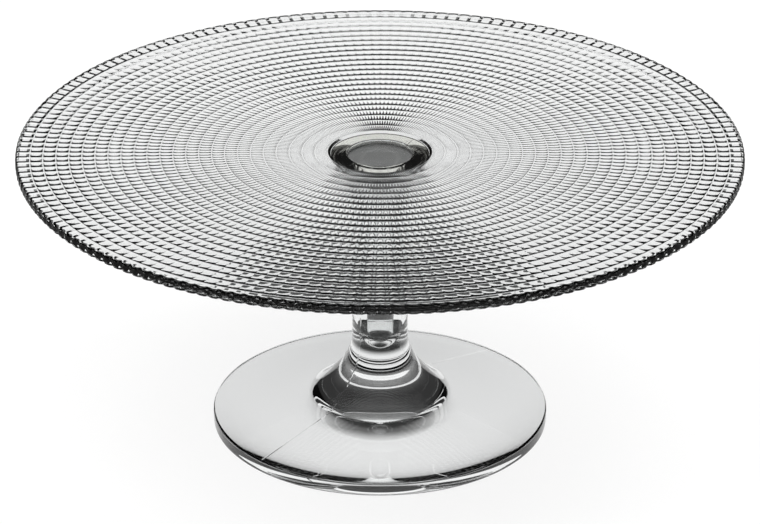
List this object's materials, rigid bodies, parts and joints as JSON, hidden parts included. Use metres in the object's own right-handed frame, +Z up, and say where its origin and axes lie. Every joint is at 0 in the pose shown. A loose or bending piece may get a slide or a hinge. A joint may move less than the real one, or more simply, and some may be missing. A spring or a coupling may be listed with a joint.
{
  "type": "cake stand",
  "caption": "Clear pressed glass cake stand: round shallow plate with a cushioned relief underneath, bonded to a hollow stem on a heavy round foot.",
  "frame": {"origin": "centre of the foot's resting face, on the surface that the stand stands on", "axes": "+Z up along the stem's axis; the stand is round, so +X and +Y are free, and -Y is the side that faced the camera"},
  "size_m": [0.32, 0.32, 0.135],
  "materials": {
    "clear_glass": "clear colourless soda-lime glass, pressed and fire-polished",
    "clear_adhesive": "clear light-cured adhesive"
  },
  "bodies": {
    "root": {"plate": "clear_glass", "pedestal": "clear_glass", "bond_film": "clear_adhesive"}
  },
  "joints": []
}
